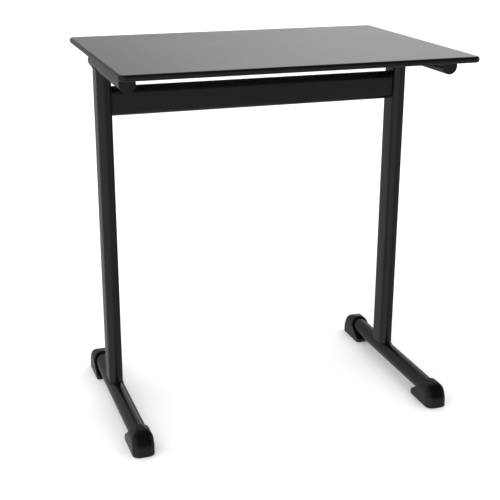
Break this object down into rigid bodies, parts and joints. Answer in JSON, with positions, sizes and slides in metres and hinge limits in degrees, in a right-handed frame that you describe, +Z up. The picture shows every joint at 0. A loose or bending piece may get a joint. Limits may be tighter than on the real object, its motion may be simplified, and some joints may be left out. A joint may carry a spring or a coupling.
{
  "type": "work table",
  "caption": "Single-seat work table: thin laminate top on two round rails, flat-oval columns and beam, round foot tubes with plastic boots.",
  "frame": {"origin": "on the floor, under the middle of the top", "axes": "+Z up, +X along the top's long side to the seated user's right, +Y away from the user; the columns stand behind the middle, towards +Y"},
  "size_m": [0.706, 0.506, 0.76],
  "materials": {
    "top_laminate": "satin black compact laminate, fine texture",
    "frame_paint": "fine-texture satin black powder coat on steel tube",
    "boot_plastic": "fine-grained black moulded plastic",
    "cap_plastic": "matt black moulded plastic",
    "screw_steel": "zinc-plated steel",
    "insert_brass": "turned brass"
  },
  "bodies": {
    "root": {"table_top": "top_laminate", "crossbeam": "frame_paint", "left_top_rail": "frame_paint", "right_top_rail": "frame_paint", "left_rail_cap_front": "cap_plastic", "left_rail_cap_rear": "cap_plastic", "right_rail_cap_front": "cap_plastic", "right_rail_cap_rear": "cap_plastic", "left_column": "frame_paint", "right_column": "frame_paint", "left_foot_tube": "frame_paint", "right_foot_tube": "frame_paint", "left_boot_front": "boot_plastic", "left_boot_rear": "boot_plastic", "right_boot_front": "boot_plastic", "right_boot_rear": "boot_plastic", "left_top_screw_front": "screw_steel", "left_top_screw_middle": "screw_steel", "left_top_screw_rear": "screw_steel", "right_top_screw_front": "screw_steel", "right_top_screw_middle": "screw_steel", "right_top_screw_rear": "screw_steel", "left_top_insert_front": "insert_brass", "left_top_insert_middle": "insert_brass", "left_top_insert_rear": "insert_brass", "right_top_insert_front": "insert_brass", "right_top_insert_middle": "insert_brass", "right_top_insert_rear": "insert_brass"}
  },
  "joints": []
}
